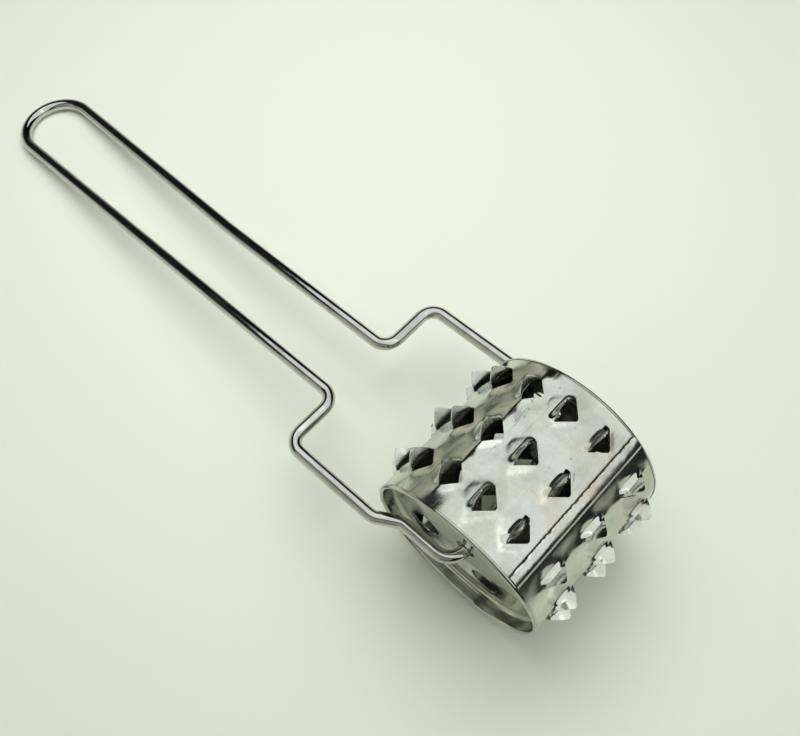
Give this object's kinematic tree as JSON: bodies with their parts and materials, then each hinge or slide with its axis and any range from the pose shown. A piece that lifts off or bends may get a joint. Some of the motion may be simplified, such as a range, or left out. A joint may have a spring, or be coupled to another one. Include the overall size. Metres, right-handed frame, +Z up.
{
  "type": "toothed roller",
  "caption": "Sheet-metal drum with punched, lifted teeth that spins on the in-turned ends of a long looped wire handle.",
  "frame": {"origin": "middle of the footprint on the surface the tool lies on, standing on two rows of teeth and on the closed end of the handle loop", "axes": "+X from the handle loop towards the drum, +Y along the drum axis, +Z up"},
  "size_m": [0.2676, 0.0666, 0.065],
  "materials": {
    "wire": "polished drawn wire",
    "sheet": "bright rolled sheet",
    "cap": "bright pressed sheet"
  },
  "bodies": {
    "handle": {"handle_wire": "wire"},
    "drum": {"drum_shell": "sheet", "end_cap_near": "cap", "end_cap_far": "cap"}
  },
  "joints": [
    {"name": "drum_spin", "type": "hinge", "parent": "handle", "child": "drum", "pos_m": [0.10125, 0, 0.03223], "axis": [0, 1, 0], "continuous": true}
  ]
}
